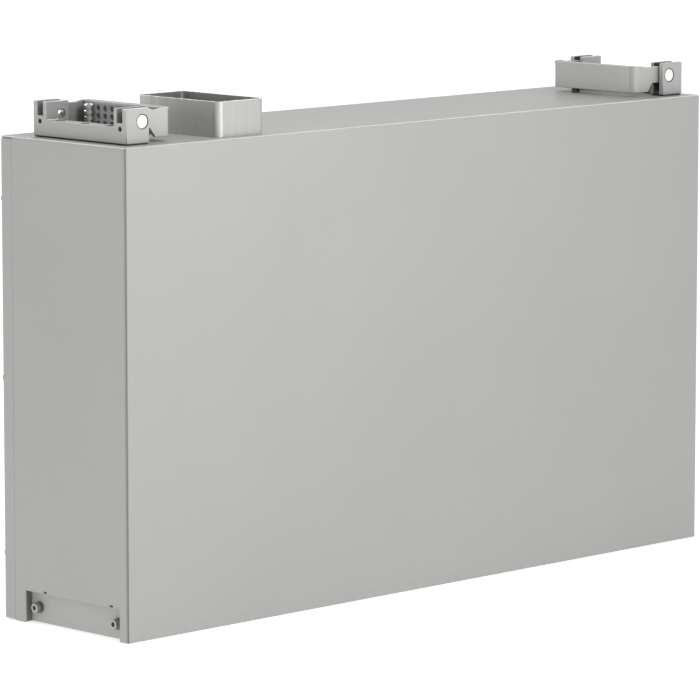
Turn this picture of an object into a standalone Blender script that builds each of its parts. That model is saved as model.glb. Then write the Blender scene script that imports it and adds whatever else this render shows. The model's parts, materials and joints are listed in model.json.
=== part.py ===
"""Wall battery unit: a stackable home battery in a bent-sheet casing.

Frame: origin under the middle of the casing, +X to the casing's right, -Y out of its front, +Z up.
Every size below is in millimetres; the helpers turn it into metres.
"""

import math

import bmesh
import bpy
from mathutils import Matrix, Vector

MM = 0.001
GAP = 0.3

# Casing
CASE_W = 680.0
CASE_D = 150.0
CASE_H = 395.0
SHEET = 1.2
BEND = 1.7
RETURN = 1.4
REAR_FLANGE = 13.0
REAR_FOOT = 0.8
SIDE_FLANGE = 8.5
SIDE_SHEET = 1.0
SIDE_BEND = 1.1
SCREW_X = 335.0
SCREW_HEIGHTS = (54.0, 198.0, 344.0)
SCREW_HOLE_R = 2.4
SCREW_DOME = ((0, 2.0), (2.4, 1.6), (4.0, 0.7), (4.3, 0.0))
SCREW_SHANK = ((2.0, 0.0), (2.0, -12.6), (0, -12.6))

# Bottom: the chassis and the recesses of the stacking bolts
FLOOR_Z = 33.0
FLOOR_SHEET = 2.0
FLOOR_BEND = 2.0
SKIRT_X = 331.2
SKIRT_SHEET = 1.6
RECESS_Y = (-65.0, 49.0)
RECESS_H = 26.3
PAN_X = (331.5, 338.5)
PAN_FOOT = 0.4
PAN_SHEET = 1.6
RELIEF_Y = (-55.0, 25.0)
RELIEF_HALF = 2.0
BOLT_Z = 12.8
BOLT_OUT = 334.9
BOLT_R = 2.5
BOLT_SHANK = 11.0
BOLT_HEAD = 4.4
BOLT_HEAD_R = 4.0
SOCKET_R = 2.3
WASHER_X = (333.4, 334.6)
WASHER_R = (2.75, 4.9)
CHASSIS_HOLE_R = 3.1
PAN_HOLE_R = 2.8

# Top brackets; heights are above the casing's top face, widths from the middle of the bracket
BRACKET_Y = -8.4
BRACKET_X = (304.2, 328.6)
BRACKET_Z = (1.0, 29.0)
DECK_X = 316.0
DECK_TOP = 14.0
BLOCK_Y = (40.3, 55.7)
SLOT_Y = (43.9, 50.8)
SLOT_X = 321.5
SLOT_FLOOR = 4.0
SLOT_SILL = 17.5
BOLT_Y = 47.8
THREAD_CORE_R = 2.1
DECK_SCREW_Y = (-30.0, 0.0, 30.0)
DECK_SEAT_R = 4.4
DECK_SEAT_DEPTH = 4.0
PAD_Z = (0.2, 0.8)
PAD_INSET = 1.0

# Carrying handles
PIN_X = 311.7
PIN_Z = 18.2
HANDLE_X = 274.0
HANDLE_Y = -8.0
HANDLE_Z = (4.0, 27.2)
HANDLE_SHEET = 3.0
HANDLE_HALF = 49.2
HANDLE_CORNER = 7.0
HEEL_R = 6.7
LIP_DEPTH = 6.0
LIP_Z = 24.8
NOTCH_FOOT = 291.5
NOTCH_KNEE = 297.5
ARM_TOP = ((303.0, 26.0), (290.0, 26.0), (284.0, 27.2))
BORE_PLAY = 0.08
GRIP_X = (277.3, 283.0)
GRIP_Z = (4.8, 24.5)
POCKET_R = 2.5
POCKET_PITCH = 8.2
POCKET_ROWS = (9.0, 15.2, 21.4)
POCKET_DEPTH = 4.0
POCKET_COLUMNS = 10
GRIP_RIM_X = 281.2
REST_Y = 16.0
REST_PROFILE = ((0, 3.4), (2.4, 3.4), (3.2, 2.6), (3.4, 0.0), (0, 0.0))
PIN_HEAD_R = 5.6
PIN_R = 3.9

# Collar and stacking connectors
COLLAR_X = (-233.0, -181.4)
COLLAR_Y = (-67.0, 29.4)
COLLAR_TOP = 29.0
COLLAR_R = 5.5
COLLAR_WALL = 1.5
COLLAR_RIM = 5.0
PLUG_SIZE = (26.0, 64.0)
PLUG_RIM = 8.0
PLUG_FLANGE = 2.5
PLUG_TOP = 17.0
PLUG_FOOT = -6.0
SOCKET_FOOT = 18.0
CONTACT_TOP = 25.0
SIGNAL_TOP = 23.5
POWER_R = 4.0
POWER_Y = (-22.0, -9.0)
SIGNAL_R = 1.3
SIGNAL_X = (-3.5, 3.5)
SIGNAL_Y = (5.0, 11.5, 18.0, 24.5)
SOCKET_PLAY = 0.5

# Cells
CELL_T = 50.0
CELL_W = 160.0
CELL_BODY = 115.5
CELL_PITCH = 51.0
CELL_ROW_Z = (37.5, 199.5)
CELLS_LEFT = -86.0
CELLS_FRONT = -46.5
CELLS_IN_ROW = 8
CELL_EDGE = 2.0
TERMINAL_R = 7.0
TERMINAL_H = 3.5
TERMINAL_Z = (30.0, 130.0)
END_PLATE = 4.0
BUSBAR_BOARD = 1.6
BUSBAR_OUT = 3.4
BUSBAR_HALF = 9.0
BUSBAR_INSET = 12.0

# Electronics
CONVERTER = ((-318.0, -48.0, 60.0), (-200.0, 30.0, 330.0))
FIN_COUNT = 10
FIN_PITCH = 12.0
FIN_SHEET = 3.0
FIN_TIP = 56.0
FIN_INSET = (4.0, 6.0)
BMS_BOARD = ((-186.0, -42.0, 70.0), (-100.0, -40.0, 330.0))
BMS_RELAYS = (90.0, 130.0, 170.0)
BMS_PARTS = (
    (-142.0, -108.0, 90.0, 200.0, -32.0),
    (-170.0, -150.0, 240.0, 260.0, -36.0),
    (-135.0, -115.0, 225.0, 245.0, -37.0),
)
BMS_FINS = (276.0, 288.0, 300.0, 312.0)
FUSE = (-143.0, 10.0, 120.0)
FUSE_R = 15.0
FUSE_HALF = 36.0
FUSE_TAB = (10.0, 1.5, 26.0)

MATERIALS = {
    "shell_paint": ((0.50, 0.50, 0.488), 0.5, 0.0),
    "bracket_alloy": ((0.52, 0.52, 0.505), 0.45, 0.1),
    "handle_alloy": ((0.50, 0.50, 0.488), 0.45, 0.1),
    "collar_metal": ((0.48, 0.48, 0.465), 0.3, 0.6),
    "grip_plastic": ((0.10, 0.10, 0.10), 0.5, 0.0),
    "pin_metal": ((0.93, 0.93, 0.92), 0.25, 0.3),
    "bolt_steel": ((0.55, 0.54, 0.52), 0.3, 1.0),
    "washer_dark": ((0.06, 0.06, 0.06), 0.4, 0.6),
    "rubber": ((0.03, 0.03, 0.03), 0.8, 0.0),
    "chassis_steel": ((0.48, 0.48, 0.47), 0.4, 0.8),
    "connector_plastic": ((0.04, 0.04, 0.045), 0.45, 0.0),
    "cell_wrap": ((0.05, 0.12, 0.30), 0.4, 0.0),
    "end_plate": ((0.60, 0.60, 0.60), 0.4, 0.9),
    "board": ((0.04, 0.20, 0.08), 0.5, 0.0),
    "heat_sink": ((0.35, 0.35, 0.36), 0.4, 0.8),
    "fuse_ceramic": ((0.85, 0.82, 0.74), 0.5, 0.0),
}


# Helpers ---------------------------------------------------------------------------------------


def clear_scene():
    for obj in list(bpy.data.objects):
        bpy.data.objects.remove(obj, do_unlink=True)


def new_collection(name):
    found = bpy.data.collections.new(name)
    bpy.context.scene.collection.children.link(found)
    return found


def material(slot):
    found = bpy.data.materials.get(slot)
    if found:
        return found
    colour, roughness, metallic = MATERIALS[slot]
    found = bpy.data.materials.new(slot)
    found.use_nodes = True
    shader = found.node_tree.nodes["Principled BSDF"]
    shader.inputs["Base Color"].default_value = (*colour, 1.0)
    shader.inputs["Roughness"].default_value = roughness
    shader.inputs["Metallic"].default_value = metallic
    return found


def finish_mesh(name, bm, slot, origin=(0, 0, 0)):
    """A named part, or with no slot a hidden helper for a Boolean. Its origin is put at origin."""
    bmesh.ops.translate(bm, verts=bm.verts, vec=-Vector(origin) * MM)
    mesh = bpy.data.meshes.new(name)
    bm.to_mesh(mesh)
    bm.free()
    obj = bpy.data.objects.new(name, mesh)
    obj.location = Vector(origin) * MM
    if slot:
        mesh.materials.append(material(slot))
        PARTS.objects.link(obj)
        obj.parent = ROOT
    else:
        CUTTERS.objects.link(obj)
        obj.hide_render = True
        obj.display_type = "WIRE"
    return obj


def add_box(bm, low, high):
    low, high = Vector(low), Vector(high)
    low, high = (
        Vector(min(pair) for pair in zip(low, high)),
        Vector(max(pair) for pair in zip(low, high)),
    )
    size = (high - low) * MM
    place = Matrix.Translation((low + high) * 0.5 * MM) @ Matrix.Diagonal((*size, 1.0))
    return bmesh.ops.create_cube(bm, size=1.0, matrix=place)["verts"]


def box(name, low, high, slot=None, origin=(0, 0, 0)):
    bm = bmesh.new()
    add_box(bm, low, high)
    return finish_mesh(name, bm, slot, origin)


def open_box(name, low, high, slot, open_sides):
    """A box surface without the faces whose outward normals are in open_sides."""
    bm = bmesh.new()
    add_box(bm, low, high)
    gone = [f for f in bm.faces if any(f.normal.dot(Vector(side)) > 0.9 for side in open_sides)]
    bmesh.ops.delete(bm, geom=gone, context="FACES")
    return finish_mesh(name, bm, slot)


AXES = {
    "X": Matrix(((0, 0, 1), (1, 0, 0), (0, 1, 0))).to_4x4(),
    "Y": Matrix(((1, 0, 0), (0, 0, -1), (0, 1, 0))).to_4x4(),
    "Z": Matrix.Identity(4),
}


def add_cylinder(bm, centre, radius, length, axis, sides=24):
    place = Matrix.Translation(Vector(centre) * MM) @ AXES[axis]
    bmesh.ops.create_cone(
        bm,
        cap_ends=True,
        segments=sides,
        radius1=radius * MM,
        radius2=radius * MM,
        depth=length * MM,
        matrix=place,
    )


def cylinder(name, centre, radius, length, axis, slot=None, sides=24):
    bm = bmesh.new()
    add_cylinder(bm, centre, radius, length, axis, sides)
    return finish_mesh(name, bm, slot)


def arc(centre, radius, start, end, steps):
    """Points on an arc, with its angles in degrees."""
    points = []
    for i in range(steps + 1):
        angle = math.radians(start + (end - start) * i / steps)
        points.append((centre[0] + radius * math.cos(angle), centre[1] + radius * math.sin(angle)))
    return points


def rounded_rectangle(low, high, radius, steps=5):
    corners = (
        (high[0] - radius, high[1] - radius),
        (low[0] + radius, high[1] - radius),
        (low[0] + radius, low[1] + radius),
        (high[0] - radius, low[1] + radius),
    )
    points = []
    for i, corner in enumerate(corners):
        points += arc(corner, radius, 90 * i, 90 * (i + 1), steps)
    return points


def extruded(name, outlines, axis, low, high, slot=None, origin=(0, 0, 0)):
    """Flat outlines, the later ones holes, drawn out along an axis from low to high."""
    curve = bpy.data.curves.new(name, "CURVE")
    curve.dimensions = "2D"
    curve.fill_mode = "BOTH"
    curve.extrude = (high - low) / 2 * MM
    for outline in outlines:
        spline = curve.splines.new("POLY")
        spline.points.add(len(outline) - 1)
        for point, (x, y) in zip(spline.points, outline):
            point.co = (x * MM, y * MM, 0, 1)
        spline.use_cyclic_u = True
    drawn = bpy.data.objects.new(name, curve)
    CUTTERS.objects.link(drawn)
    bpy.context.view_layer.update()
    graph = bpy.context.evaluated_depsgraph_get()
    mesh = bpy.data.meshes.new_from_object(drawn.evaluated_get(graph))
    bpy.data.objects.remove(drawn, do_unlink=True)
    bm = bmesh.new()
    bm.from_mesh(mesh)
    bpy.data.meshes.remove(mesh)
    bmesh.ops.remove_doubles(bm, verts=bm.verts, dist=1e-6)
    if len(outlines) == 1:
        bmesh.ops.dissolve_limit(bm, angle_limit=0.001, verts=bm.verts, edges=bm.edges)
    middle = (high + low) / 2 * MM
    shift = {"X": (middle, 0, 0), "Y": (0, middle, 0), "Z": (0, 0, middle)}[axis]
    bmesh.ops.transform(bm, matrix=Matrix.Translation(shift) @ AXES[axis], verts=bm.verts)
    bmesh.ops.recalc_face_normals(bm, faces=bm.faces)
    for face in bm.faces:
        face.smooth = False
    return finish_mesh(name, bm, slot, origin)


def turned(name, profile, slot, location, direction, steps=24):
    """A profile of (radius, height) from the top of its axis to the bottom, turned about it."""
    bm = bmesh.new()
    corners = [bm.verts.new((radius * MM, 0, height * MM)) for radius, height in profile]
    for first, second in zip(corners, corners[1:]):
        bm.edges.new((first, second))
    obj = finish_mesh(name, bm, slot)
    obj.location = Vector(location) * MM
    obj.rotation_mode = "QUATERNION"
    obj.rotation_quaternion = Vector((0, 0, 1)).rotation_difference(Vector(direction))
    screw = obj.modifiers.new("turn", "SCREW")
    screw.steps = steps
    screw.render_steps = steps
    screw.use_merge_vertices = True
    screw.merge_threshold = 1e-5
    screw.use_smooth_shade = True
    return obj


def combine(obj, other, operation):
    step = obj.modifiers.new(operation.lower(), "BOOLEAN")
    step.operation = operation
    step.object = other


def cut(obj, other):
    combine(obj, other, "DIFFERENCE")


def join(obj, other):
    combine(obj, other, "UNION")


def soften(obj, width, segments=2, angle=35.0):
    edge = obj.modifiers.new("edges", "BEVEL")
    edge.width = width * MM
    edge.segments = segments
    edge.limit_method = "ANGLE"
    edge.angle_limit = math.radians(angle)


def thicken(obj, thickness):
    skin = obj.modifiers.new("sheet", "SOLIDIFY")
    skin.thickness = thickness * MM
    skin.offset = -1.0
    skin.use_even_offset = True


# Casing ----------------------------------------------------------------------------------------


def front_cover():
    """The front and the top in one sheet, bent over narrow returns at the sides and the rear."""
    half = CASE_W / 2
    front = -CASE_D / 2
    cover = open_box(
        "front_cover",
        (-half, front, 0),
        (half, -front, CASE_H),
        "shell_paint",
        [(0, 0, -1)],
    )
    soften(cover, BEND, 4)
    thicken(cover, SHEET)
    away = (-half - 10, front + RETURN, -10), (half + 10, -front + 10, CASE_H - RETURN)
    cut(cover, box("front_cover_returns", *away))
    collar = rounded_rectangle(
        (COLLAR_X[0] - GAP, COLLAR_Y[0] - GAP),
        (COLLAR_X[1] + GAP, COLLAR_Y[1] + GAP),
        COLLAR_R + GAP,
    )
    cut(cover, extruded("collar_cutout", [collar], "Z", CASE_H - 10, CASE_H + 10))


def side_panel(name, side):
    """A shallow pan that faces in, open at the bottom, with the recess cut out of its foot."""
    outer = CASE_W / 2
    rear = CASE_D / 2 - REAR_FLANGE - GAP
    panel = open_box(
        name,
        (side * (outer - SIDE_FLANGE), -CASE_D / 2 + RETURN + GAP, 0),
        (side * outer, rear, CASE_H - RETURN - GAP),
        "shell_paint",
        [(-side, 0, 0), (0, 0, -1)],
    )
    soften(panel, SIDE_BEND, 2)
    thicken(panel, SIDE_SHEET)
    bm = bmesh.new()
    reach = (side * (outer - SIDE_FLANGE / 2), side * (outer + 5))
    add_box(bm, (reach[0], RECESS_Y[0], -5), (reach[1], RECESS_Y[1], RECESS_H))
    recess = finish_mesh(name + "_recess", bm, None)
    cut(panel, recess)
    for middle in RELIEF_Y:
        low = (reach[0] - side, middle - RELIEF_HALF, RECESS_H - 2)
        high = (reach[1] + side, middle + RELIEF_HALF, RECESS_H + RELIEF_HALF)
        cut(panel, box(name + "_relief", low, high))


def rear_cover():
    half = CASE_W / 2
    rear = CASE_D / 2
    cover = open_box(
        "rear_cover",
        (-half, rear - REAR_FLANGE, REAR_FOOT),
        (half, rear, CASE_H - RETURN - GAP),
        "shell_paint",
        [(0, -1, 0), (0, 0, -1)],
    )
    soften(cover, BEND, 3)
    thicken(cover, SHEET)
    bm = bmesh.new()
    for x in (-SCREW_X, SCREW_X):
        for z in SCREW_HEIGHTS:
            add_cylinder(bm, (x, rear, z), SCREW_HOLE_R, 20, "Y", 12)
    cut(cover, finish_mesh("rear_cover_holes", bm, None))


def rear_screws():
    """Domed screws that hold the rear cover against the side panels' flanges."""
    profile = SCREW_DOME + SCREW_SHANK
    for side, label in ((-1, "left"), (1, "right")):
        for number, z in enumerate(SCREW_HEIGHTS, 1):
            head = (side * SCREW_X, CASE_D / 2 + GAP, z)
            turned(f"rear_screw_{label}_{number}", profile, "bolt_steel", head, (0, 1, 0), 12)


def chassis_base():
    """The floor that carries the cells, with a skirt all round that stands on the ground."""
    front = -CASE_D / 2 + SHEET + GAP
    rear = CASE_D / 2 - SHEET - GAP
    base = open_box(
        "chassis_base",
        (-SKIRT_X, front, 0),
        (SKIRT_X, rear, FLOOR_Z + FLOOR_SHEET),
        "chassis_steel",
        [(0, 0, -1)],
    )
    soften(base, FLOOR_BEND, 2)
    thicken(base, SKIRT_SHEET)
    cut(base, stack_bolt_holes("chassis_bolt_holes", CHASSIS_HOLE_R))
    window = plug_outline(1.0, 4.0)
    cut(base, extruded("plug_window", [window], "Z", FLOOR_Z - 10, FLOOR_Z + 10))


def bolt_places():
    """Y of the rear and the front stacking bolt, and of the holes that they screw into."""
    return (("rear", BRACKET_Y + BOLT_Y), ("front", BRACKET_Y - BOLT_Y))


def stack_bolt_holes(name, radius):
    bm = bmesh.new()
    for side in (-1, 1):
        for _, y in bolt_places():
            add_cylinder(bm, (side * PAN_X[0], y, BOLT_Z), radius, 10, "X", 12)
    return finish_mesh(name, bm, None)


def recess_plate(name, side):
    """A pan that faces out behind a side panel's cut-out, open at its foot."""
    wall = PAN_SHEET
    plate = open_box(
        name,
        (side * PAN_X[0], RECESS_Y[0] - wall, PAN_FOOT),
        (side * PAN_X[1], RECESS_Y[1] + wall, RECESS_H + wall),
        "shell_paint",
        [(side, 0, 0), (0, 0, -1)],
    )
    thicken(plate, wall)
    cut(plate, stack_bolt_holes(name + "_holes", PAN_HOLE_R))


def stack_bolts(label, side):
    """Captive socket-head bolts with a washer each; they screw into a lower unit's brackets."""
    chamfer = 0.5
    profile = [
        (0, BOLT_HEAD),
        (BOLT_HEAD_R - chamfer, BOLT_HEAD),
        (BOLT_HEAD_R, BOLT_HEAD - chamfer),
        (BOLT_HEAD_R, 0),
        (BOLT_R, 0),
        (BOLT_R, -BOLT_SHANK),
        (0, -BOLT_SHANK),
    ]
    bore, rim = WASHER_R
    half = (WASHER_X[1] - WASHER_X[0]) / 2
    washer = [(rim, half), (rim, -half), (bore, -half), (bore, half), (rim, half)]
    washer_x = side * sum(WASHER_X) / 2
    for place, y in bolt_places():
        name = f"stack_bolt_{label}_{place}"
        bolt = turned(name, profile, "bolt_steel", (side * BOLT_OUT, y, BOLT_Z), (side, 0, 0), 14)
        socket = (side * (BOLT_OUT + BOLT_HEAD), y, BOLT_Z)
        cut(bolt, cylinder(name + "_socket", socket, SOCKET_R, 5.0, "X", sides=6))
        name = f"stack_washer_{label}_{place}"
        turned(name, washer, "washer_dark", (washer_x, y, BOLT_Z), (side, 0, 0), 14)


# Top brackets and carrying handles -------------------------------------------------------------


def above(height):
    return CASE_H + height


def bracket(name, side):
    """A deck along the casing's edge with a block at each end; each block is slotted for an arm."""
    inner, outer = BRACKET_X
    low, high = [above(z) for z in BRACKET_Z]
    deck = above(DECK_TOP)
    end_y, block_y = BLOCK_Y[1], BLOCK_Y[0]
    outline = [
        (-end_y, low),
        (end_y, low),
        (end_y, high),
        (block_y, high),
        (block_y, deck),
        (-block_y, deck),
        (-block_y, high),
        (-end_y, high),
    ]
    outline = [(BRACKET_Y + y, z) for y, z in outline]
    near, far = sorted((side * inner, side * outer))
    body = extruded(name, [outline], "X", near, far, "bracket_alloy")
    soften(body, 0.6, 1)
    handle_room = box(
        name + "_handle_room",
        (side * (inner - 5), BRACKET_Y - block_y, low - 5),
        (side * DECK_X, BRACKET_Y + block_y, high + 5),
    )
    cut(body, handle_room)
    for end in (-1, 1):
        slot_y = [BRACKET_Y + end * y for y in SLOT_Y]
        pocket_low = (side * (inner - 5), slot_y[0], above(SLOT_FLOOR))
        pocket_high = (side * SLOT_X, slot_y[1], high + 5)
        cut(body, box(name + "_slot", pocket_low, pocket_high))
        notch_low = (side * (SLOT_X - 2), slot_y[0], above(SLOT_SILL))
        notch_high = (side * (outer + 5), slot_y[1], high + 6)
        cut(body, box(name + "_outer_slot", notch_low, notch_high))
        bore = (side * PIN_X, BRACKET_Y + end * block_y, above(PIN_Z))
        cut(body, cylinder(name + "_pin_bore", bore, PIN_R + 0.1, 12, "Y", sides=20))
        head = (side * PIN_X, BRACKET_Y + end * (SLOT_Y[1] + 5), above(PIN_Z))
        cut(body, cylinder(name + "_head_bore", head, PIN_HEAD_R + 0.25, 12, "Y", sides=20))
        hole = (side * outer, BRACKET_Y + end * BOLT_Y, above(BOLT_Z))
        through = 2 * (outer - SLOT_X + 2)
        cut(body, cylinder(name + "_bolt_hole", hole, THREAD_CORE_R, through, "X", sides=12))
    bm = bmesh.new()
    deck_middle = side * (DECK_X + outer) / 2
    for y in DECK_SCREW_Y:
        seat = (deck_middle, BRACKET_Y + y, deck)
        add_cylinder(bm, seat, DECK_SEAT_R, 2 * DECK_SEAT_DEPTH, "Z", 14)
    cut(body, finish_mesh(name + "_screw_seats", bm, None))


def bracket_pad(name, side):
    """The gasket under a bracket, a little smaller than its foot all round."""
    half = BLOCK_Y[1] - PAD_INSET
    inner = BLOCK_Y[0] + PAD_INSET
    out = side * (BRACKET_X[1] - PAD_INSET)
    block = side * (BRACKET_X[0] + PAD_INSET)
    deck = side * (DECK_X + PAD_INSET)
    outline = [(out, -half), (out, half), (block, half), (block, inner)]
    outline += [(deck, inner), (deck, -inner), (block, -inner), (block, -half)]
    outline = [(x, BRACKET_Y + y) for x, y in outline]
    extruded(name, [outline], "Z", above(PAD_Z[0]), above(PAD_Z[1]), "rubber")


def handle_plan(side):
    """The handle from above: a sheet bent to a U, its ends on the pins."""
    ends = PIN_X + HEEL_R + 5
    outline = []
    for radius, inset in ((HANDLE_CORNER, 0.0), (HANDLE_CORNER - HANDLE_SHEET, HANDLE_SHEET)):
        half = HANDLE_HALF - inset
        near = HANDLE_X + inset
        rear = arc((near + radius, half - radius), radius, 90, 180, 5)
        front = arc((near + radius, radius - half), radius, 180, 270, 5)
        path = [(ends, half)] + rear + front + [(ends, -half)]
        outline += path if not outline else path[::-1]
    return [(side * x, HANDLE_Y + y) for x, y in outline]


def handle_profile(side):
    """The handle from the front: a deep grip, arms that rise over a notch, and round heels."""
    low, high = HANDLE_Z
    heel = arc((PIN_X, PIN_Z), HEEL_R, -90, 90, 12)
    points = [(HANDLE_X - 5, low), (NOTCH_FOOT, low), (NOTCH_KNEE, PIN_Z - HEEL_R)]
    points += heel + list(ARM_TOP) + [(HANDLE_X - 5, high)]
    return [(side * x, above(z)) for x, z in points]


def handle(name, side):
    low, high = HANDLE_Z
    pin = (side * PIN_X, HANDLE_Y, above(PIN_Z))
    body = extruded(
        name, [handle_plan(side)], "Z", above(low - 5), above(high + 5), "handle_alloy", pin
    )
    reach = HANDLE_HALF + 20
    profile = extruded(
        name + "_profile", [handle_profile(side)], "Y", HANDLE_Y - reach, HANDLE_Y + reach
    )
    combine(body, profile, "INTERSECT")
    soften(body, 0.4, 1, 50.0)
    lip_half = HANDLE_HALF - HANDLE_SHEET / 2
    inner = HANDLE_X + HANDLE_SHEET
    lip = box(
        name + "_lip",
        (side * (inner - 1), HANDLE_Y - lip_half, above(LIP_Z)),
        (side * (inner + LIP_DEPTH), HANDLE_Y + lip_half, above(high - 0.4)),
    )
    join(body, lip)
    cut(body, cylinder(name + "_bore", pin, PIN_R + BORE_PLAY, 2 * reach, "Y", sides=20))


def grip_insert(name, side):
    """The moulded insert behind the handle's plate, with rows of round pockets in its back."""
    half = HANDLE_HALF - HANDLE_CORNER
    pin = (side * PIN_X, HANDLE_Y, above(PIN_Z))
    low = (side * GRIP_X[0], HANDLE_Y - half, above(GRIP_Z[0]))
    high = (side * GRIP_X[1], HANDLE_Y + half, above(GRIP_Z[1]))
    insert = box(name, low, high, "grip_plastic", pin)
    rim_half = HANDLE_HALF - HANDLE_SHEET - 0.4
    rim_low = (side * GRIP_RIM_X, HANDLE_Y - rim_half, above(GRIP_Z[0]))
    rim_high = (side * GRIP_X[1], HANDLE_Y + rim_half, above(GRIP_Z[1]))
    join(insert, box(name + "_rim", rim_low, rim_high))
    bm = bmesh.new()
    middle = GRIP_X[1] - POCKET_DEPTH / 2 + 2
    for column in range(POCKET_COLUMNS):
        y = HANDLE_Y + (column - (POCKET_COLUMNS - 1) / 2) * POCKET_PITCH
        for z in POCKET_ROWS:
            centre = (side * middle, y, above(z))
            add_cylinder(bm, centre, POCKET_R, POCKET_DEPTH + 4, "X", 8)
    cut(insert, finish_mesh(name + "_pockets", bm, None))


def hinge_pins(label, side):
    """Stepped pins: the wide end shows in the block's outer face, the thin end carries an arm."""
    length = BLOCK_Y[1] - 0.2
    tip = BLOCK_Y[0] - GAP
    for end, place in ((1, "rear"), (-1, "front")):
        step = HANDLE_HALF + end * (HANDLE_Y - BRACKET_Y) + GAP
        profile = [
            (0, length),
            (PIN_HEAD_R - 0.3, length),
            (PIN_HEAD_R, length - 0.3),
            (PIN_HEAD_R, step),
            (PIN_R, step),
            (PIN_R, tip + 0.5),
            (PIN_R - 0.5, tip),
            (0, tip),
        ]
        middle = (side * PIN_X, BRACKET_Y, above(PIN_Z))
        turned(f"hinge_pin_{label}_{place}", profile, "pin_metal", middle, (0, end, 0), 20)


def handle_rest(name, side):
    """The rubber foot on the casing that the folded handle lies on."""
    foot = (side * (HANDLE_X + 4), REST_Y, above(GAP))
    turned(name, REST_PROFILE, "rubber", foot, (0, 0, 1), 12)


# Collar and stacking connectors ----------------------------------------------------------------


def plug_middle():
    return (sum(COLLAR_X) / 2, sum(COLLAR_Y) / 2)


def top_collar():
    """An open hood round the connector, with a flange that is held under the casing's top."""
    low = (COLLAR_X[0], COLLAR_Y[0])
    high = (COLLAR_X[1], COLLAR_Y[1])
    wall = COLLAR_WALL
    outer = rounded_rectangle(low, high, COLLAR_R)
    inner = rounded_rectangle(
        (low[0] + wall, low[1] + wall), (high[0] - wall, high[1] - wall), COLLAR_R - wall
    )
    under = CASE_H - SHEET - GAP
    collar = extruded(
        "top_collar", [outer, inner], "Z", under - 1.5, above(COLLAR_TOP), "collar_metal"
    )
    rim = COLLAR_RIM
    flange = rounded_rectangle(
        (low[0] - rim, low[1] - rim), (high[0] + rim, high[1] + rim), COLLAR_R + rim
    )
    hole = rounded_rectangle(
        (low[0] + wall / 2, low[1] + wall / 2),
        (high[0] - wall / 2, high[1] - wall / 2),
        COLLAR_R - wall / 2,
    )
    join(collar, extruded("collar_flange", [flange, hole], "Z", under - 1.5, under))


def plug_outline(more, corner):
    """The connector's outline from above, grown by a distance all round."""
    middle = plug_middle()
    half = [size / 2 + more for size in PLUG_SIZE]
    low = (middle[0] - half[0], middle[1] - half[1])
    high = (middle[0] + half[0], middle[1] + half[1])
    return rounded_rectangle(low, high, corner, 3)


def contact_places():
    """Power contacts first, then two rows of signal contacts, as (x, y, radius)."""
    middle = plug_middle()
    places = [(middle[0], middle[1] + y, POWER_R) for y in POWER_Y]
    for row in SIGNAL_X:
        places += [(middle[0] + row, middle[1] + y, SIGNAL_R) for y in SIGNAL_Y]
    return places


def connector_block(name, low, high, flange):
    """A rounded block with a wider flange, given by its lowest and highest point."""
    block = extruded(name, [plug_outline(0, 3.0)], "Z", low, high, "connector_plastic")
    soften(block, 0.8, 1)
    join(block, extruded(name + "_flange", [plug_outline(PLUG_RIM, 4.0)], "Z", *flange))
    return block


def top_connector():
    low = above(PLUG_FOOT)
    block = connector_block("top_connector", low, above(PLUG_TOP), (low, low + PLUG_FLANGE))
    bm = bmesh.new()
    root = PLUG_TOP - 3
    for x, y, radius in contact_places():
        tip, sides = (CONTACT_TOP, 12) if radius == POWER_R else (SIGNAL_TOP, 8)
        add_cylinder(bm, (x, y, above((root + tip) / 2)), radius, tip - root, "Z", sides)
    join(block, finish_mesh("top_contacts", bm, None))


def bottom_connector():
    top = FLOOR_Z + FLOOR_SHEET + GAP
    block = connector_block("bottom_connector", SOCKET_FOOT, top + 10, (top, top + PLUG_FLANGE))
    bm = bmesh.new()
    for x, y, radius in contact_places():
        sides = 12 if radius == POWER_R else 8
        add_cylinder(bm, (x, y, SOCKET_FOOT), radius + SOCKET_PLAY, 20, "Z", sides)
    cut(block, finish_mesh("bottom_sockets", bm, None))


# Cells and electronics -------------------------------------------------------------------------


def cells():
    """Two rows of prismatic cells, their terminals towards the front."""
    for row, z in enumerate(CELL_ROW_Z):
        for i in range(CELLS_IN_ROW):
            x = CELLS_LEFT + i * CELL_PITCH + (CELL_PITCH - CELL_T) / 2
            number = row * CELLS_IN_ROW + i + 1
            low = (x, CELLS_FRONT, z)
            high = (x + CELL_T, CELLS_FRONT + CELL_BODY, z + CELL_W)
            cell = box(f"cell_{number:02d}", low, high, "cell_wrap", low)
            soften(cell, CELL_EDGE, 1)
            bm = bmesh.new()
            for end in TERMINAL_Z:
                post = (x + CELL_T / 2, CELLS_FRONT - TERMINAL_H / 2 + 1, z + end)
                add_cylinder(bm, post, TERMINAL_R, TERMINAL_H + 2, "Y", 8)
            join(cell, finish_mesh(f"cell_{number:02d}_posts", bm, None))


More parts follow.
